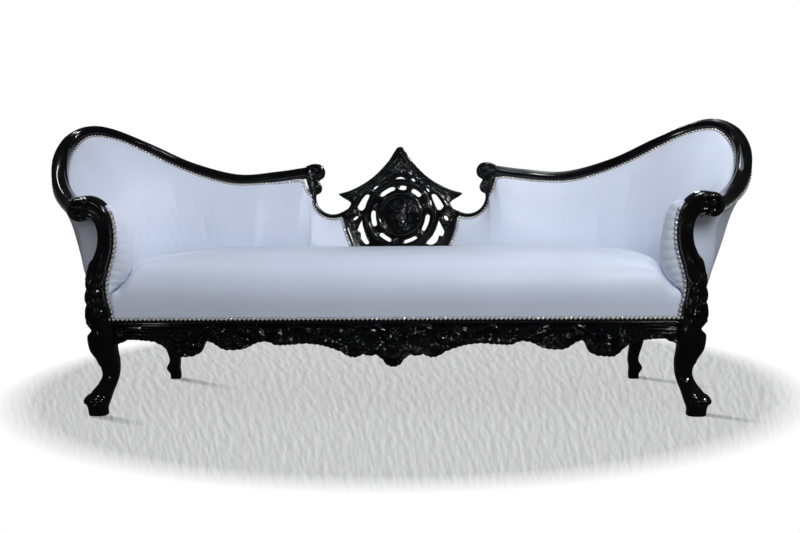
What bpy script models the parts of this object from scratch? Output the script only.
"""Long carved sofa: winged back, domed seat, serpentine crest and a pierced centre panel.

Metres, +Z up, facing -Y. Parts are built with y = 0 at the front face of the front rail.
Heights named h are measured up from the top of the seat rails. The root empty then carries
everything so that the origin is the middle of the footprint, on the floor.
"""

import math

import bmesh
import bpy
import numpy as np

# Clearances
GAP = 0.0003
SOFT_GAP = 0.0015
STRIP_GAP = 0.0012

# Seat frame
POST_X = 0.928
LEG_BLOCK = 0.080
LEG_Y = 0.020
RAIL_TOP = 0.305
RAIL_HEIGHT = 0.070
FRONT_RAIL_THICKNESS = 0.045
SIDE_RAIL_THICKNESS = 0.034
SEAT_DEPTH = 0.522
REAR_RAIL_THICKNESS = 0.045
REAR_LEG_INSET = 0.073
REAR_LEG_BLOCK = 0.060
STRETCHER_WIDTH = 0.050
STRETCHER_HEIGHT = 0.035
BLOCK_HEIGHT = 0.045
BLOCK_REACH = 0.095
DUST_THICKNESS = 0.0018

# Back frame
BACK_RAKE = math.radians(10.0)
BACK_SETBACK = 0.0125
PANEL_THICKNESS = 0.035
PANEL_FOOT = 0.115
FRAME_STICK = 0.028
FRAME_SETBACK = 0.008
BACK_POST_CLEAR = 0.070
BACK_POST_WIDTH = 0.045
LOWER_RAIL_HEIGHT = 0.109
BRACKET_THICKNESS = 0.046
JOINT_X = 0.208
SCROLL_EDGE_X = 0.345
WING_POST_WIDTH = 0.040
WING_POST_THICKNESS = 0.018

# Show wood
CREST_DEPTH = 0.055
CREST_HEIGHT = 0.042
ARM_POST_THICKNESS = 0.070
ARM_POST_FRONT = -0.020
RING_RADIUS = 0.1185
RING_THICKNESS = 0.0115
MEDALLION_H = 0.303
DISH_RADIUS = 0.0840
DISH_THICKNESS = 0.014
DISH_HOLLOW = 0.008
HEAD_HEIGHT = 0.020

# Upholstery
PAD_FOOT_H = 0.032
PAD_EDGE = 0.006
PAD_CROWN = 0.052
PAD_FRONT_Y = -0.002
ARM_PAD_H = 0.372
COVER_THICKNESS = 0.004
SEAT_SIDE_GAP = 0.014
SEAT_CROWN = 0.195
SEAT_SHELL = 0.003
FOAM_GAP = 0.005
SEAT_TUCK_H = 0.026
SPRING_WIRE = 0.0019
SPRING_WIDTH = 0.046
SPRING_MARGIN = 0.0077
SPRING_LOOPS = 9
HESSIAN_H = 0.0200
HESSIAN_THICKNESS = 0.0015
STRIP_WIDTH = 0.0110
STRIP_THICKNESS = 0.0014

POST_BACK = ARM_POST_FRONT + ARM_POST_THICKNESS
RAIL_END = POST_X - LEG_BLOCK / 2 - GAP
REAR_LEG_X = POST_X - REAR_LEG_INSET
SPRING_PITCH = (RAIL_END - SPRING_MARGIN) / 4
BACK_POST_X = 2.5 * SPRING_PITCH + BACK_POST_CLEAR
LEG_BACK = LEG_Y + LEG_BLOCK / 2

parts = bpy.data.collections.new("carved_wing_sofa")


def clear_scene():
    """Remove the start-up objects and link the collection."""
    for item in list(bpy.data.objects):
        bpy.data.objects.remove(item)
    bpy.context.scene.collection.children.link(parts)


def finish(name, colour, roughness, metallic=0.0):
    """A plain Principled material."""
    made = bpy.data.materials.new(name)
    made.use_nodes = True
    shader = made.node_tree.nodes["Principled BSDF"]
    shader.inputs["Base Color"].default_value = (*colour, 1.0)
    shader.inputs["Roughness"].default_value = roughness
    shader.inputs["Metallic"].default_value = metallic
    made.diffuse_color = (*colour, 1.0)
    return made


clear_scene()
LACQUER = finish("black_lacquer", (0.012, 0.012, 0.014), 0.18)
BEECH = finish("beech", (0.55, 0.40, 0.26), 0.6)
LEATHER = finish("pale_leather", (0.56, 0.63, 0.74), 0.42)
FILLING = finish("seat_filling", (0.80, 0.74, 0.55), 0.9)
HESSIAN = finish("hessian", (0.45, 0.36, 0.24), 0.95)
CLOTH = finish("dust_cloth", (0.03, 0.03, 0.03), 0.95)
STEEL = finish("spring_steel", (0.35, 0.35, 0.36), 0.4, 1.0)
NICKEL = finish("nickel", (0.72, 0.72, 0.74), 0.22, 1.0)

root = bpy.data.objects.new("sofa", None)
parts.objects.link(root)


def place(name, data, material, collection=parts):
    """Link one object under the root with its material."""
    made = bpy.data.objects.new(name, data)
    data.materials.append(material)
    collection.objects.link(made)
    made.parent = root
    return made


def resampled(dense, count):
    """The same line with a given number of evenly spaced points."""
    steps = np.linalg.norm(np.diff(dense, axis=0), axis=1)
    along = np.concatenate([[0.0], np.cumsum(steps)])
    wanted = np.linspace(0.0, along[-1], count)
    columns = [np.interp(wanted, along, dense[:, axis]) for axis in range(dense.shape[1])]
    return np.stack(columns, axis=1)


def smooth_path(points, count):
    """Evenly spaced points on a Catmull-Rom curve through the given points."""
    given = np.asarray(points, float)
    ends = 2 * given[0] - given[1], 2 * given[-1] - given[-2]
    padded = np.vstack([ends[:1], given, ends[1:]])
    t = np.linspace(0.0, 1.0, 16, endpoint=False)[:, None]
    pieces = []
    for a, b, c, d in zip(padded, padded[1:], padded[2:], padded[3:]):
        cubic = 3 * b - a - 3 * c + d
        pieces.append(b + 0.5 * ((c - a) * t + (2 * a - 5 * b + 4 * c - d) * t**2 + cubic * t**3))
    return resampled(np.vstack([*pieces, given[-1:]]), count)


def arc(centre, radius, first, last, count):
    """Points on a circle between two angles in degrees."""
    angles = np.radians(np.linspace(first, last, count))
    return np.stack([centre[0] + radius * np.cos(angles), centre[1] + radius * np.sin(angles)], 1)


def side_of(points, side):
    """The same points on the right (+1) or mirrored to the left (-1)."""
    moved = np.array(points, float)
    moved[..., 0] *= side
    return moved


def solid(name, points, faces, material):
    """A closed mesh object whose faces are turned outwards."""
    data = bpy.data.meshes.new(name)
    data.from_pydata([tuple(p) for p in points], [], faces)
    shape = bmesh.new()
    shape.from_mesh(data)
    bmesh.ops.recalc_face_normals(shape, faces=shape.faces)
    shape.to_mesh(data)
    shape.free()
    return place(name, data, material)


def loft(name, rings, material):
    """A skin through rings with the same number of points, closed by flat ends."""
    rings = np.asarray(rings)
    rows, count = rings.shape[:2]
    index = np.arange(rows * count).reshape(rows, count)
    after = np.roll(index, -1, axis=1)
    quads = np.stack([index[:-1], after[:-1], after[1:], index[1:]], -1).reshape(-1, 4)
    faces = quads.tolist() + [index[0].tolist()[::-1], index[-1].tolist()]
    return solid(name, rings.reshape(-1, 3), faces, material)


def thick_sheet(name, front, rear, material):
    """A closed body between two grids of the same size."""
    rows, count = front.shape[:2]
    first = np.arange(rows * count).reshape(rows, count)
    second = first + rows * count

    def quads(grid):
        return np.stack([grid[:-1, :-1], grid[:-1, 1:], grid[1:, 1:], grid[1:, :-1]], -1)

    def rim(grid):
        return np.concatenate([grid[0], grid[1:, -1], grid[-1, -2::-1], grid[-2:0:-1, 0]])

    outer, inner = rim(first), rim(second)
    wall = np.stack([outer, np.roll(outer, -1), np.roll(inner, -1), inner], -1)
    faces = [quads(first).reshape(-1, 4), quads(second)[..., ::-1].reshape(-1, 4), wall[:, ::-1]]
    points = np.concatenate([front.reshape(-1, 3), rear.reshape(-1, 3)])
    return solid(name, points, np.concatenate(faces).tolist(), material)


def coons(bottom, top, start, end):
    """A four-sided surface from its edge lines, as rows (start to end) of columns."""
    across = np.linspace(0.0, 1.0, len(bottom))[None, :, None]
    up = np.linspace(0.0, 1.0, len(start))[:, None, None]
    ruled = (1 - up) * bottom[None] + up * top[None]
    crossed = (1 - across) * start[:, None] + across * end[:, None]
    low = (1 - across) * bottom[0] + across * bottom[-1]
    high = (1 - across) * top[0] + across * top[-1]
    return ruled + crossed - ((1 - up) * low + up * high)


def grid_normals(grid):
    """Unit normals of a grid of points, by the cross product of its two directions."""
    down, along = np.gradient(grid, axis=0), np.gradient(grid, axis=1)
    normal = np.cross(along, down)
    return normal / np.linalg.norm(normal, axis=-1, keepdims=True)


def plate(name, outlines, thickness, bevel, material):
    """A board cut to 2D outlines, the later ones being openings, centred on its plane."""
    data = bpy.data.curves.new(name, "CURVE")
    data.dimensions = "2D"
    data.fill_mode = "BOTH"
    data.extrude = thickness / 2 - bevel
    data.bevel_depth = bevel
    data.bevel_resolution = 0
    data.offset = -bevel
    for outline in outlines:
        line = data.splines.new("POLY")
        line.points.add(len(outline) - 1)
        for point, (across, up) in zip(line.points, outline):
            point.co = (across, up, 0.0, 1.0)
        line.use_cyclic_u = True
    made = place(name, data, material)
    made.modifiers.new("Weld caps", "WELD").merge_threshold = 0.00001
    return made


def upright(made, y, z=0.0):
    """Stand a plate up with its outline in the XZ plane."""
    made.location = (0.0, y, z)
    made.rotation_euler = (math.pi / 2, 0.0, 0.0)


def box(name, low, high, material):
    """A square block between two corners."""
    (x0, y0, z0), (x1, y1, z1) = low, high
    plan = [(x0, y0), (x1, y0), (x1, y1), (x0, y1)]
    return loft(name, [[(x, y, z) for x, y in plan] for z in (z0, z1)], material)


def ribbon(centre, half_widths):
    """The two edges of a band of changing width along a plane line."""
    along = np.gradient(centre, axis=0)
    along /= np.linalg.norm(along, axis=1, keepdims=True)
    normal = np.stack([-along[:, 1], along[:, 0]], 1)
    width = np.asarray(half_widths)[:, None]
    return centre + normal * width, centre - normal * width


def on_back(points, depth=0.0):
    """Points (x, h) on the raked plane of the back, moved by a depth."""
    flat = np.asarray(points, float)
    y = SEAT_DEPTH + BACK_SETBACK + flat[:, 1] * math.tan(BACK_RAKE) + depth
    return np.stack([flat[:, 0], y, RAIL_TOP + flat[:, 1]], 1)


def raked(made, depth=0.0):
    """Stand a plate up on the raked plane of the back, a depth behind it."""
    y = SEAT_DEPTH + BACK_SETBACK + depth * math.cos(BACK_RAKE)
    made.location = (0.0, y, RAIL_TOP - depth * math.sin(BACK_RAKE))
    made.rotation_euler = (math.pi / 2 - BACK_RAKE, 0.0, 0.0)


def up_the_rake(points):
    """Outline points (x, h) stretched to lengths along the raked plane."""
    return np.asarray(points, float) * (1.0, 1.0 / math.cos(BACK_RAKE))


# Seat frame

APRON_EDGE = [
    (0.000, 0.153), (0.020, 0.146), (0.034, 0.129), (0.052, 0.115), (0.076, 0.117), (0.094, 0.112),
    (0.120, 0.122), (0.146, 0.116), (0.172, 0.101), (0.230, 0.083), (0.280, 0.078), (0.365, 0.083),
    (0.398, 0.072), (0.432, 0.075), (0.472, 0.093), (0.508, 0.098), (0.542, 0.095), (0.575, 0.075),
    (0.597, 0.071), (0.612, 0.101), (0.634, 0.116), (0.666, 0.120), (0.696, 0.118), (0.728, 0.090),
    (0.757, 0.073), (0.800, 0.067), (0.845, 0.064), (0.868, 0.074), (0.8877, 0.080),
]


def front_rail():
    """The front rail with its scalloped lower edge."""
    fit = RAIL_END / APRON_EDGE[-1][0]
    half = smooth_path(np.array(APRON_EDGE) * (fit, 1.0), 66)
    lower = np.concatenate([half[:0:-1] * (-1, 1), half])
    outline = [(-RAIL_END, 0.0), *(lower * (1, -1)), (RAIL_END, 0.0)]
    made = plate("front_rail", [outline], FRONT_RAIL_THICKNESS, 0.003, LACQUER)
    upright(made, FRONT_RAIL_THICKNESS / 2, RAIL_TOP)


def rounded_square(half_x, half_y, count, power):
    """Offsets of a superellipse section."""
    angle = np.linspace(0.0, 2 * math.pi, count, endpoint=False) + math.pi / count
    cos, sin = np.cos(angle), np.sin(angle)
    reach = (np.abs(cos) ** power + np.abs(sin) ** power) ** (-1 / power)
    return np.stack([half_x * reach * cos, half_y * reach * sin], 1)


def front_leg(name, side):
    """A cabriole leg: block, knee, ankle and scrolled toe, kicked out on the diagonal."""
    rows = smooth_path([
        (0.000, 0.0260, 0.018), (0.022, 0.0320, 0.020), (0.045, 0.0395, 0.018),
        (0.070, 0.0350, 0.008), (0.100, 0.0285, -0.008), (0.130, 0.0270, -0.016),
        (0.170, 0.0335, -0.012), (0.215, 0.0395, -0.001), (0.255, 0.0400, 0.000),
        (RAIL_TOP, LEG_BLOCK / 2, 0.000),
    ], 20)
    rings = []
    for z, half, kick in rows:
        half = min(half, LEG_BLOCK / 2)
        section = rounded_square(half, half, 16, 4.0 if z > 0.24 else 2.8)
        x = side * (POST_X + kick + section[:, 0])
        rings.append(np.stack([x, LEG_Y - kick + section[:, 1], np.full(16, z)], 1))
    loft(name, rings, LACQUER)


def rear_leg(name, side):
    """A plain leg raked backwards with a small outward bump above the foot."""
    half = REAR_LEG_BLOCK / 2
    y = SEAT_DEPTH + 0.014
    rows = smooth_path([
        (0.000, -0.004, y + 0.089, 0.0180, 0.020), (0.020, -0.005, y + 0.082, 0.0190, 0.020),
        (0.044, -0.001, y + 0.068, 0.0240, 0.021), (0.080, -0.013, y + 0.046, 0.0190, 0.020),
        (0.140, -0.007, y + 0.019, 0.0230, 0.024), (0.215, 0.000, y + 0.003, half, 0.029),
        (RAIL_TOP, 0.000, y, half, 0.031),
    ], 14)
    rings = []
    for z, shift, depth, half_x, half_y in rows:
        section = rounded_square(min(half_x, half), min(half_y, 0.031), 12, 5.0)
        x = side * (REAR_LEG_X + min(shift, 0.0) + section[:, 0])
        rings.append(np.stack([x, depth + section[:, 1], np.full(12, z)], 1))
    loft(name, rings, LACQUER)


def side_rail_line():
    """Plan centre line of the right bowed side rail, from front leg to rear leg."""
    end_y = SEAT_DEPTH + 0.014
    leg_face = REAR_LEG_X + REAR_LEG_BLOCK / 2 + GAP
    return smooth_path([
        (POST_X + 0.018, LEG_BACK + GAP), (POST_X + 0.018, LEG_BACK + 0.040), (POST_X + 0.036, 0.220),
        (POST_X + 0.030, 0.360), (POST_X - 0.001, SEAT_DEPTH - 0.042), (leg_face + 0.030, end_y),
        (leg_face, end_y),
    ], 18)


def side_rail(name, side):
    """A bowed plank between the legs."""
    line = side_rail_line()
    left, right = ribbon(line, np.full(len(line), SIDE_RAIL_THICKNESS / 2))
    for edge in (left, right):
        edge[0, 1], edge[-1, 0] = line[0, 1], line[-1, 0]
    outline = side_of(np.concatenate([left, right[::-1]]), side)
    made = plate(name, [outline], RAIL_HEIGHT, 0.0, LACQUER)
    made.location = (0.0, 0.0, RAIL_TOP - RAIL_HEIGHT / 2)


def seat_frame():
    """Rails, stretcher, corner blocks and dust cover."""
    low = RAIL_TOP - RAIL_HEIGHT
    rear_end = REAR_LEG_X - REAR_LEG_BLOCK / 2 - GAP
    rear_face = SEAT_DEPTH + REAR_RAIL_THICKNESS
    box("rear_rail", (-rear_end, SEAT_DEPTH, low), (rear_end, rear_face, RAIL_TOP), LACQUER)
    inner = FRONT_RAIL_THICKNESS + GAP
    half = STRETCHER_WIDTH / 2
    box("seat_stretcher", (-half, inner, low), (half, SEAT_DEPTH - GAP, low + STRETCHER_HEIGHT), BEECH)
    leg_side, leg_front = RAIL_END, SEAT_DEPTH - 0.017 - GAP
    front = [
        (leg_side - BLOCK_REACH, inner), (leg_side, inner), (leg_side, LEG_BACK + GAP),
        (POST_X - 0.003, LEG_BACK + GAP), (POST_X + 0.001, LEG_BACK + 0.080),
    ]
    rear = [
        (rear_end - BLOCK_REACH, SEAT_DEPTH - GAP), (rear_end, SEAT_DEPTH - GAP), (rear_end, leg_front),
        (REAR_LEG_X + 0.025, leg_front), (POST_X - 0.014, SEAT_DEPTH - 0.092),
    ]
    for label, side in (("left", -1), ("right", 1)):
        for end, outline in (("front", front), ("rear", rear)):
            shape = [side_of(outline, side)]
            made = plate(f"{label}_{end}_corner_block", shape, BLOCK_HEIGHT, 0.0, BEECH)
            made.location = (0.0, 0.0, RAIL_TOP - RAIL_HEIGHT / 2)
    leg_x = REAR_LEG_X - REAR_LEG_BLOCK / 2 - 0.002
    half_plan = [
        (leg_side - 0.002, inner), (leg_side - 0.002, LEG_BACK + 0.002), (POST_X + 0.012, LEG_BACK + 0.002),
        (POST_X - 0.018, SEAT_DEPTH - 0.060), (leg_x, SEAT_DEPTH - 0.060),
        (leg_x, SEAT_DEPTH + 0.030),
    ]
    plan = [*half_plan, *[(-x, y) for x, y in half_plan[::-1]]]
    made = plate("dust_cover", [plan], DUST_THICKNESS, 0.0, CLOTH)
    made.location = (0.0, 0.0, low - GAP - DUST_THICKNESS / 2)


# Show wood

def arm_post_edges(margin=0.0):
    """Edge lines (x, h) of the right arm post, inner then outer, and its scroll centre."""
    rows = smooth_path([
        (0.007, GAP, 0.0375), (0.007, 0.028, 0.0350), (0.012, 0.062, 0.0305), (0.013, 0.115, 0.0280),
        (0.003, 0.165, 0.0290), (-0.017, 0.225, 0.0255), (-0.021, 0.275, 0.0245),
        (-0.013, 0.318, 0.0275), (0.006, 0.346, 0.0320), (0.030, 0.358, 0.0360), (0.057, 0.355, 0.0380),
    ], 30)
    centre = rows[:, :2] + (POST_X, 0.0)
    inner, outer = ribbon(centre, rows[:, 2] + margin)
    inner[0, 1] = outer[0, 1] = GAP
    return inner, outer, centre[-1]


def arm_post(name, side):
    """The S-shaped post with a scroll that rolls outwards."""
    inner, outer, centre = arm_post_edges()
    first = math.degrees(math.atan2(*(inner[-1] - centre)[::-1]))
    last = math.degrees(math.atan2(*(outer[-1] - centre)[::-1]))
    radius = float(np.linalg.norm(inner[-1] - centre))
    turn = arc(centre, radius, first, last, 9)[1:-1]
    outline = side_of(np.concatenate([inner, turn, outer[::-1]]), side)
    made = plate(name, [outline], ARM_POST_THICKNESS, 0.006, LACQUER)
    upright(made, ARM_POST_FRONT + ARM_POST_THICKNESS / 2, RAIL_TOP)


def crest_frames():
    """Centre line of the right crest rail with its inward and upward directions."""
    back, wing = SEAT_DEPTH, POST_X
    line = smooth_path([
        (SCROLL_EDGE_X + GAP, back + 0.095, 0.458), (0.450, back + 0.098, 0.444),
        (0.600, back + 0.100, 0.435),
        (wing - 0.158, back + 0.090, 0.480), (wing - 0.008, back + 0.066, 0.550),
        (wing + 0.112, back + 0.018, 0.603), (wing + 0.182, back - 0.025, 0.612),
        (wing + 0.230, back - 0.075, 0.581), (wing + 0.246, back - 0.137, 0.520),
        (wing + 0.230, back - 0.207, 0.455), (wing + 0.190, back - 0.287, 0.403),
        (wing + 0.130, POST_BACK + 0.095, 0.366), (wing + 0.074, POST_BACK + GAP, 0.349),
    ], 38)
    line[:, 2] += RAIL_TOP
    along = np.gradient(line, axis=0)
    along /= np.linalg.norm(along, axis=1, keepdims=True)
    inward = np.cross(along, (0.0, 0.0, 1.0))
    inward /= np.linalg.norm(inward, axis=1, keepdims=True)
    return line, along, inward, np.cross(inward, along)


def crest_rail(name, side):
    """The rail swept along its path, its ends cut flat against bracket and post."""
    line, along, inward, upward = crest_frames()
    section = rounded_square(CREST_DEPTH / 2, CREST_HEIGHT / 2, 12, 2.6)
    rings = line[:, None] + section[:, :1] * inward[:, None] + section[:, 1:] * upward[:, None]
    start = (SCROLL_EDGE_X + GAP - rings[0, :, 0]) / along[0, 0]
    end = (POST_BACK + GAP - rings[-1, :, 1]) / along[-1, 1]
    rings[0] += start[:, None] * along[0]
    rings[-1] += end[:, None] * along[-1]
    loft(name, side_of(rings, side), LACQUER)


CURL_CENTRE = (0.245, 0.371)
CURL_INNER = 0.066
CURL_OUTER = 0.083


def scroll_bracket(name, side):
    """The double-lobed end scroll and the C curve that leads to the centre panel."""
    knob = smooth_path([
        (SCROLL_EDGE_X, 0.481), (0.318, 0.489), (0.292, 0.485), (0.279, 0.466), (0.283, 0.445),
        (0.300, 0.430), (0.290, 0.408), (0.294, 0.390), (0.3095, 0.381),
    ], 26)
    reach = math.degrees(math.acos((JOINT_X + GAP - CURL_CENTRE[0]) / CURL_INNER))
    reach_out = math.degrees(math.acos((JOINT_X + GAP - CURL_CENTRE[0]) / CURL_OUTER))
    inside = arc(CURL_CENTRE, CURL_INNER, 2.0, -reach, 15)
    outside = arc(CURL_CENTRE, CURL_OUTER, -reach_out, 4.0, 15)
    rise = np.array([(0.3345, 0.400), (0.3405, 0.420), (SCROLL_EDGE_X, 0.436)])
    outline = side_of(np.concatenate([knob, inside, outside, rise]), side)
    made = plate(name, [up_the_rake(outline)], BRACKET_THICKNESS, 0.004, LACQUER)
    raked(made)


# Heights of the roof and the openings are measured from the middle of the medallion
PANEL_ROOF = [
    (0.000, 0.246), (0.013, 0.239), (0.036, 0.209), (0.066, 0.172), (0.100, 0.138),
    (0.142, 0.109), (0.188, 0.087), (0.226, 0.077),
]
PANEL_EAVES = [(0.212, 0.067), (0.190, 0.054), (0.180, 0.042), (0.188, 0.025)]
UPPER_VOID = [
    (0.136, 0.060), (0.150, 0.049), (0.163, 0.031), (0.160, 0.015), (0.142, 0.019),
    (0.134, 0.037), (0.136, 0.060),
]
LOWER_VOID = [
    (0.144, -0.022), (0.160, -0.041), (0.166, -0.065), (0.154, -0.081), (0.136, -0.103),
    (0.122, -0.097), (0.132, -0.073), (0.143, -0.045), (0.144, -0.022),
]
PANEL_SIDE = [
    (0.2040, 0.280), (0.1970, 0.250), (0.1870, 0.215), (0.1720, 0.182), (0.1610, 0.150),
    (0.1560, PANEL_FOOT + GAP),
]


def oval(centre, half_long, half_short, tilt):
    """An ellipse outline, tilted in degrees."""
    ring = arc((0.0, 0.0), 1.0, 0.0, 324.0, 10) * (half_long, half_short)
    turn = math.radians(tilt)
    x = ring[:, 0] * math.cos(turn) - ring[:, 1] * math.sin(turn)
    y = ring[:, 0] * math.sin(turn) + ring[:, 1] * math.cos(turn)
    return np.stack([centre[0] + x, centre[1] + y], 1)


def slit(first, last):
    """A curved opening between dish and ring, from one angle to another."""
    centre = (0.0, MEDALLION_H)
    outer = arc(centre, RING_RADIUS - RING_THICKNESS, first, last, 6)
    inner = arc(centre, DISH_RADIUS + 0.008, last - 1.5, first + 1.5, 6)
    return np.concatenate([outer, inner])


def centre_panel():
    """The pierced board with pagoda top and the openings around the medallion."""
    middle_h = np.array((0.0, MEDALLION_H))
    half = np.concatenate([
        smooth_path(PANEL_ROOF, 22) + middle_h, PANEL_EAVES + middle_h,
        [(JOINT_X - GAP, 0.3165), (JOINT_X - GAP, 0.2965)], smooth_path(PANEL_SIDE, 10),
    ])
    outline = np.concatenate([half, (half * (-1, 1))[:0:-1]])
    pairs = [
        oval((0.086, 0.098) + middle_h, 0.012, 0.0050, -32.0),
        oval((0.048, 0.121) + middle_h, 0.006, 0.0045, -30.0),
        oval((0.158, -0.007) + middle_h, 0.012, 0.0070, 0.0), slit(43.0, 79.0), slit(-29.0, 9.0),
        slit(282.0, 313.0), smooth_path(UPPER_VOID, 12)[:-1] + middle_h,
        smooth_path(LOWER_VOID, 16)[:-1] + middle_h,
    ]
    middle = [oval((0.0, 0.135) + middle_h, 0.023, 0.0070, 0.0), slit(83.0, 97.0)]
    holes = middle + pairs + [shape * (-1, 1) for shape in pairs]
    shapes = [up_the_rake(shape) for shape in [outline, *holes]]
    made = plate("centre_panel", shapes, PANEL_THICKNESS, 0.002, LACQUER)
    raked(made)


def on_medallion(made, depth):
    """Stand a piece whose +Z is its front on the panel's front face, a depth in front of it."""
    height = MEDALLION_H
    y = SEAT_DEPTH + BACK_SETBACK + height * math.tan(BACK_RAKE)
    out = PANEL_THICKNESS / 2 + depth
    made.location = (0.0, y - out * math.cos(BACK_RAKE), RAIL_TOP + height + out * math.sin(BACK_RAKE))
    made.rotation_euler = (math.pi / 2 - BACK_RAKE, 0.0, 0.0)


def turned(name, profile, steps, material):
    """A body of revolution about local Z from (radius, z) points that start and end on the axis."""
    data = bpy.data.meshes.new(name)
    points = [(radius, 0.0, z) for radius, z in profile]
    data.from_pydata(points, [(i, i + 1) for i in range(len(points) - 1)], [])
    made = place(name, data, material)
    screw = made.modifiers.new("Turn", "SCREW")
    screw.steps = steps
    screw.render_steps = steps
    screw.use_merge_vertices = True
    screw.merge_threshold = 0.00001
    screw.use_normal_calculate = True
    return made


def medallion():
    """The ring moulding, the dish and the head standing in it."""
    ring = np.concatenate([
        arc((RING_RADIUS, 0.0), RING_THICKNESS, 180.0, 0.0, 7) * (1.0, 0.75),
        [(RING_RADIUS + RING_THICKNESS, 0.0)],
    ])[:-1]
    data = bpy.data.meshes.new("medallion_ring")
    count = len(ring)
    edges = [(i, (i + 1) % count) for i in range(count)]
    data.from_pydata([(radius, 0.0, z) for radius, z in ring], edges, [])
    made = place("medallion_ring", data, LACQUER)
    screw = made.modifiers.new("Turn", "SCREW")
    screw.steps = 32
    screw.render_steps = 32
    screw.use_merge_vertices = True
    screw.merge_threshold = 0.00001
    on_medallion(made, GAP)

    face = DISH_THICKNESS - DISH_HOLLOW
    rim = DISH_RADIUS - 0.012
    dish = turned("medallion_dish", [
        (0.0, 0.0), (DISH_RADIUS, 0.0), (DISH_RADIUS, face), (DISH_RADIUS - 0.003, DISH_THICKNESS),
        (DISH_RADIUS - 0.009, DISH_THICKNESS), (rim, face + 0.002), (rim - 0.006, face), (0.0, face),
    ], 36, LACQUER)
    on_medallion(dish, GAP)

    base = face + GAP
    outline = arc((0.0, 0.0), 1.0, 0.0, 337.5, 16)
    rows = [(1.0, 0.0), (0.99, 0.25), (0.92, 0.55), (0.76, 0.80), (0.48, 0.96), (0.16, 1.0)]
    rings = []
    for share, lift in rows:
        flat = outline * (0.033, 0.043) * share
        rings.append(np.stack([flat[:, 0], flat[:, 1], np.full(16, base + HEAD_HEIGHT * lift)], 1))
    head = loft("medallion_head", rings, LACQUER)
    on_medallion(head, GAP)


# Inner back frame

def back_frame():
    """Posts and lower rail inside the back, and the leaning wing posts."""
    line, along, inward, _ = crest_frames()
    depth = FRAME_SETBACK
    half = FRAME_STICK / 2
    inner_face = BACK_POST_X - BACK_POST_WIDTH / 2 - GAP
    under = np.interp(BACK_POST_X, line[:14, 0], line[:14, 2]) - RAIL_TOP - CREST_HEIGHT / 2 - 0.024

    def stick(name, x0, x1, h0, h1):
        rings = []
        for h in (h0, h1):
            plan = [(x0, -half), (x1, -half), (x1, half), (x0, half)]
            rings.append(np.concatenate([on_back([(x, h)], depth + d) for x, d in plan]))
        loft(name, rings, BEECH)

    low = PANEL_FOOT - LOWER_RAIL_HEIGHT
    rail = [(-inner_face, low), (inner_face, low), (inner_face, PANEL_FOOT), (-inner_face, PANEL_FOOT)]
    raked(plate("lower_back_rail", [up_the_rake(rail)], FRAME_STICK, 0.0, LACQUER), depth)
    for label, side in (("left", -1), ("right", 1)):
        edges = sorted([side * inner_face + side * GAP, side * (inner_face + GAP + BACK_POST_WIDTH)])
        stick(f"{label}_back_post", *edges, GAP, under)
        plan = side_rail_line()
        foot = np.array([*plan[12], RAIL_TOP + GAP])
        index = int(np.argmax(line[:, 2]))
        top = line[index] - (0.0, 0.0, CREST_HEIGHT / 2 + 0.010)
        across = inward[index] * WING_POST_THICKNESS / 2
        flat = along[index] * (1.0, 1.0, 0.0)
        flat *= WING_POST_WIDTH / 2 / np.linalg.norm(flat)
        corners = [-across - flat, across - flat, across + flat, -across + flat]
        loft(f"{label}_wing_post", side_of([[end + c for c in corners] for end in (foot, top)], side), BEECH)


# Upholstery

def pad_edges():
    """The four edge lines of the right inside pad's hidden face."""
    line, _, inward, upward = crest_frames()
    drop = CREST_HEIGHT / 2 + SOFT_GAP + 0.003
    curl = arc(CURL_CENTRE, CURL_OUTER + SOFT_GAP + 0.003, -112.0, 2.0, 14)
    rise = [(0.3390, 0.398), (0.3450, 0.416)]
    start_top = (JOINT_X + 0.0015, 0.2930)
    near = on_back(np.concatenate([[start_top], curl, rise]), -0.014)
    under = (line + inward * 0.020 - upward * drop)[1:-3]
    inner_post = arm_post_edges(SOFT_GAP + 0.001)[0]
    inner_post = inner_post[:int(np.argmax(inner_post[:, 1])) + 1]
    post_x = np.interp(ARM_PAD_H, inner_post[:, 1], inner_post[:, 0])
    arm_end = [
        (POST_X + 0.055, POST_BACK + 0.050, RAIL_TOP + 0.345),
        (post_x, POST_BACK + SOFT_GAP, RAIL_TOP + ARM_PAD_H),
    ]
    corner = on_back([(SCROLL_EDGE_X + 0.004, 0.4325)], -0.014)
    far = smooth_path(np.concatenate([corner, under[::-3][::-1], arm_end]), 80)
    top = np.concatenate([resampled(near, 9), resampled(far, 29)])
    rising = inner_post[:, 1]
    between = (rising > PAD_FOOT_H + 0.006) & (rising < ARM_PAD_H - 0.006)
    heights = np.concatenate([[PAD_FOOT_H], rising[between]])
    x = np.interp(heights, inner_post[:, 1], inner_post[:, 0])
    y = np.full(len(x), POST_BACK + SOFT_GAP)
    front = np.concatenate([np.stack([x, y, RAIL_TOP + heights], 1), top[-1:]])
    front = resampled(front, PAD_ROWS)
    foot_corner = front[0]
    foot = smooth_path([
        (0.158, SEAT_DEPTH - 0.008), (0.400, SEAT_DEPTH - 0.008), (POST_X - 0.250, SEAT_DEPTH - 0.024),
        (POST_X - 0.108, SEAT_DEPTH - 0.095), (POST_X - 0.043, 0.300), (POST_X - 0.024, 0.160),
        tuple(foot_corner[:2]),
    ], len(top))
    bottom = np.column_stack([foot, np.full(len(foot), RAIL_TOP + PAD_FOOT_H)])
    side_line = [(x + 0.002, h) for x, h in PANEL_SIDE[::-1]]
    inner = np.concatenate([bottom[:1], on_back(side_line, -0.014), top[:1]])
    return bottom, top, resampled(inner, PAD_ROWS), front


PAD_ROWS = 11


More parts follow.
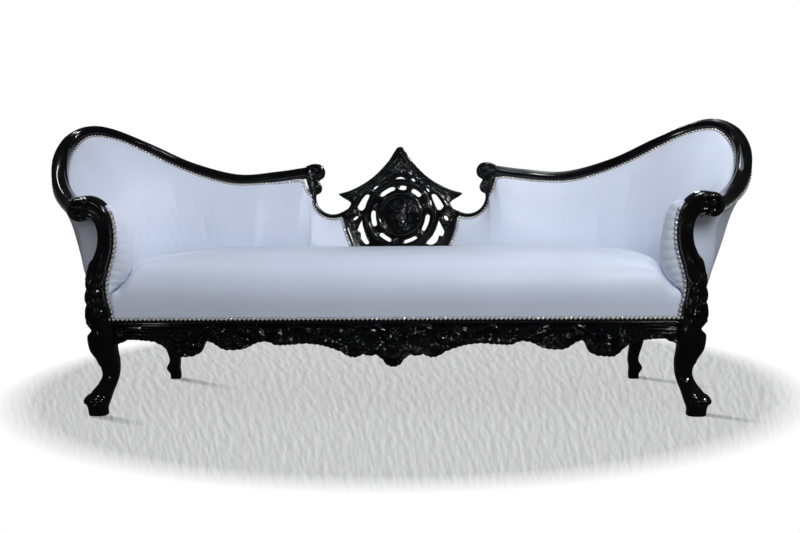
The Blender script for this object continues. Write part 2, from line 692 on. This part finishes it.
def pad_faces():
    """Hidden and seen faces of the right inside pad, as two grids."""
    bottom, top, inner, front = pad_edges()
    rear = coons(bottom, top, inner, front)
    rows, count = rear.shape[:2]
    returned = rear[:, -1:].copy()
    returned[:, :, 1] = PAD_FRONT_Y
    rear = np.concatenate([rear, returned], axis=1)
    normal = grid_normals(rear)
    across = np.concatenate([np.linspace(0.0, 0.93, count), [1.0]])[None]
    up = np.linspace(0.0, 1.0, rows)[:, None]
    tuck = np.clip(up / 0.35, 0.0, 1.0)
    rise = 4 * up * (1 - up) * tuck**2 * (3 - 2 * tuck)
    swell = np.clip(1 - np.abs(2 * across - 1) ** 6, 0.0, 1.0)
    depth = PAD_EDGE + PAD_CROWN * rise**0.75 * swell
    return rear, rear + normal * depth[..., None]


def inside_pad(name, side):
    """The padding and leather from the centre panel round to the arm post."""
    rear, seen = pad_faces()
    thick_sheet(name, side_of(seen, side), side_of(rear, side), LEATHER)


def edge_strip(name, border, inside, normal, material):
    """A narrow band lying on a face, along the border and towards the inside."""
    across = inside - border
    across /= np.linalg.norm(across, axis=1, keepdims=True)
    lift = normal * STRIP_GAP
    grid = np.stack([border + across * 0.002 + lift, border + across * (0.002 + STRIP_WIDTH) + lift])
    thick_sheet(name, grid + normal * STRIP_THICKNESS, grid, material)


def pad_strips(label, side):
    """Nail bands along the top of an inside pad and up the arm front."""
    _, seen = pad_faces()
    seen = side_of(seen, side)
    normal = grid_normals(seen) * side
    edge_strip(f"{label}_back_nails", seen[-1, 1:-4], seen[-2, 1:-4], normal[-1, 1:-4], NICKEL)
    rows = slice(1, -2)
    outward = np.cross(seen[rows, -2] - seen[rows, -1], np.gradient(seen[:, -1], axis=0)[rows])
    outward *= -side / np.linalg.norm(outward, axis=1, keepdims=True)
    edge_strip(f"{label}_arm_nails", seen[rows, -1], seen[rows, -2], outward, NICKEL)


def cover_faces():
    """Inner and outer faces of the right outside cover."""
    line, _, inward, upward = crest_frames()
    drop = CREST_HEIGHT / 2 + SOFT_GAP + 0.002
    behind = BRACKET_THICKNESS / 2 + SOFT_GAP + 0.002
    curl = arc(CURL_CENTRE, CURL_OUTER + SOFT_GAP, -112.0, 2.0, 14)
    near = on_back(np.concatenate([[(JOINT_X + 0.002, 0.2930)], curl, [(0.3390, 0.398)]]), behind)
    far = (line - inward * 0.014 - upward * drop)[1:-1]
    outer_post = arm_post_edges()[1]
    heights = np.linspace(2 * GAP, 0.305, 12)
    rising = outer_post[:int(np.argmax(outer_post[:, 1])) + 1]
    x = np.interp(heights, rising[:, 1], rising[:, 0]) - 0.008
    front = np.stack([x, np.full(12, POST_BACK + COVER_THICKNESS + SOFT_GAP), RAIL_TOP + heights], 1)
    top = np.concatenate([resampled(near, 5), resampled(np.concatenate([far, front[-1:]]), 22)])
    back = SEAT_DEPTH + REAR_RAIL_THICKNESS + SOFT_GAP
    foot = smooth_path([
        (0.158, back), (0.500, back), (REAR_LEG_X - 0.060, back), (POST_X - 0.020, back - 0.020),
        (POST_X + 0.036, SEAT_DEPTH - 0.072), (POST_X + 0.056, 0.300), (POST_X + 0.050, 0.160),
        tuple(front[0, :2]),
    ], len(top))
    bottom = np.column_stack([foot, np.full(len(foot), RAIL_TOP + 2 * GAP)])
    side_line = [(x + 0.002, h) for x, h in PANEL_SIDE[::-1]]
    inner_line = np.concatenate([bottom[:1], on_back(side_line, behind), top[:1]])
    grid = coons(bottom, top, resampled(inner_line, 7), resampled(front, 7))
    outside = grid - grid_normals(grid) * COVER_THICKNESS
    outside[0, :, 2] = grid[0, :, 2]
    return grid, outside


def outside_cover(label, side):
    """The leather over the outside of back, wing and arm, with its nail band."""
    inside, outside = cover_faces()
    thick_sheet(f"{label}_outside_cover", side_of(outside, side), side_of(inside, side), LEATHER)
    seen = side_of(outside, side)
    normal = grid_normals(seen) * -side
    edge_strip(f"{label}_outside_nails", seen[-1, 6:-1], seen[-2, 6:-1], normal[-1, 6:-1], NICKEL)


def seat_outline(inset):
    """Closed plan line of the seat, an inset inside the room that the pads leave."""
    foot = pad_edges()[0][:, :2]
    along = np.gradient(foot, axis=0)
    along /= np.linalg.norm(along, axis=1, keepdims=True)
    inside = foot + np.stack([along[:, 1], -along[:, 0]], 1) * (SEAT_SIDE_GAP + inset)
    edge = float(inside[-1, 0])
    corner = [(edge, inset), (edge, 0.030)]
    around = np.concatenate([corner, inside[inside[:, 1] > 0.050][::-1]])
    right = resampled(np.concatenate([around, [(0.0, inside[0, 1])]]), 16)
    front = np.column_stack([np.linspace(-edge, edge, 15)[1:-1], np.full(13, inset)])
    return np.concatenate([front, right, (right * (-1, 1))[-2::-1]])


def seat_rings(inset, lower, foot_h):
    """Rings that climb from the seat's foot over its domed top."""
    outline = seat_outline(inset)
    spine_x = np.clip(outline[:, 0], -0.560, 0.560)
    spine = np.column_stack([spine_x, np.full(len(outline), SEAT_DEPTH * 0.52)])
    crown = SEAT_CROWN - lower
    rows = [
        (0.000, foot_h), (-0.004, max(foot_h + 0.006, 0.022)), (-0.018, 0.26 * crown), (-0.016, 0.46 * crown),
        (0.030, 0.68 * crown), (0.120, 0.83 * crown), (0.290, 0.94 * crown), (0.600, 0.99 * crown),
        (0.850, crown),
    ]
    fall = 1 - 0.38 * np.abs(outline[:, 0] / outline[:, 0].max()) ** 3
    rings = []
    for share, h in rows:
        flat = spine + (outline - spine) * (1 - share)
        height = np.full(len(outline), h)
        if h > 0.03:
            height = 0.03 + (h - 0.03) * (1 - (1 - fall) * max(0.0, 1 - 1.2 * max(share, 0.0) ** 1.5))
        rings.append(np.column_stack([flat, RAIL_TOP + height]))
    return np.array(rings)


def seat():
    """Seat cover shell, filling, hessian and zigzag springs."""
    outer = seat_rings(0.0, 0.0, GAP)
    tuck = (outer[0, :, 1] > 0.002)
    outer[0, tuck, 2] = RAIL_TOP + SEAT_TUCK_H
    outer[1, tuck, 2] = RAIL_TOP + SEAT_TUCK_H + 0.008
    rows, count = outer.shape[:2]
    index = np.arange(rows * count).reshape(rows, count)
    after = np.roll(index, -1, axis=1)
    quads = np.stack([index[:-1], after[:-1], after[1:], index[1:]], -1).reshape(-1, 4)
    data = bpy.data.meshes.new("seat_cover")
    data.from_pydata([tuple(p) for p in outer.reshape(-1, 3)], [], [*quads.tolist(), index[-1].tolist()])
    cover = place("seat_cover", data, LEATHER)
    shell = cover.modifiers.new("Leather thickness", "SOLIDIFY")
    shell.thickness = SEAT_SHELL
    shell.offset = -1.0
    foam = HESSIAN_H + HESSIAN_THICKNESS + GAP
    loft("seat_filling", seat_rings(SEAT_SHELL + FOAM_GAP, SEAT_SHELL + 2 * FOAM_GAP, foam), FILLING)
    low, high = RAIL_TOP + HESSIAN_H, RAIL_TOP + HESSIAN_H + HESSIAN_THICKNESS
    reach = POST_X - 0.090
    inner = SEAT_SHELL + FOAM_GAP
    box("seat_hessian", (-reach, inner, low), (reach, SEAT_DEPTH - 0.004, high), HESSIAN)
    for number in range(8):
        seat_spring(f"seat_spring_{number + 1}", (number - 3.5) * SPRING_PITCH)


def seat_spring(name, x):
    """One zigzag spring from front rail to rear rail, arched up to the hessian."""
    y = np.linspace(0.018, SEAT_DEPTH + 0.020, SPRING_LOOPS + 1)
    sign = np.tile([1.0, -1.0], SPRING_LOOPS)[:SPRING_LOOPS + 1]
    rest = GAP + SPRING_WIRE
    lift = HESSIAN_H - GAP - SPRING_WIRE - rest
    points = []
    for k, level in enumerate(y):
        share = (level - y[0]) / (y[-1] - y[0])
        z = RAIL_TOP + rest + lift * math.sin(math.pi * share) ** 0.6
        first = x - sign[k] * SPRING_WIDTH / 2
        points += [(first, level, z), (2 * x - first, level, z)]
    data = bpy.data.curves.new(name, "CURVE")
    data.dimensions = "3D"
    data.bevel_depth = SPRING_WIRE
    data.bevel_resolution = 0
    data.use_fill_caps = True
    line = data.splines.new("POLY")
    line.points.add(len(points) - 1)
    for point, place_at in zip(line.points, points):
        point.co = (*place_at, 1.0)
    made = place(name, data, STEEL)
    made.modifiers.new("Weld caps", "WELD").merge_threshold = 0.00001


def seat_nails():
    """The nail band along the foot of the seat front."""
    edge = float(seat_outline(0.0)[:, 0].max()) - 0.002
    front = seat_rings(0.0, 0.0, GAP)[:2, :, 1].min() - GAP
    low = RAIL_TOP + 0.0015
    box("seat_nails", (-edge, front - STRIP_THICKNESS, low), (edge, front, low + STRIP_WIDTH), NICKEL)


def centre_origin():
    """Move the root so that the origin is the middle of the footprint on the floor."""
    bpy.context.view_layer.update()
    graph = bpy.context.evaluated_depsgraph_get()
    depths = []
    for item in parts.objects:
        if item.type == "EMPTY":
            continue
        shaped = item.evaluated_get(graph)
        mesh = shaped.to_mesh()
        depths += [(shaped.matrix_world @ vertex.co).y for vertex in mesh.vertices]
        shaped.to_mesh_clear()
    root.location.y = -(min(depths) + max(depths)) / 2


def main():
    """Build every part."""
    front_rail()
    seat_frame()
    centre_panel()
    medallion()
    back_frame()
    seat()
    seat_nails()
    for label, side in (("left", -1), ("right", 1)):
        front_leg(f"{label}_front_leg", side)
        rear_leg(f"{label}_rear_leg", side)
        side_rail(f"{label}_side_rail", side)
        arm_post(f"{label}_arm_post", side)
        crest_rail(f"{label}_crest_rail", side)
        scroll_bracket(f"{label}_scroll_bracket", side)
        inside_pad(f"{label}_inside_pad", side)
        pad_strips(label, side)
        outside_cover(label, side)
    centre_origin()


main()
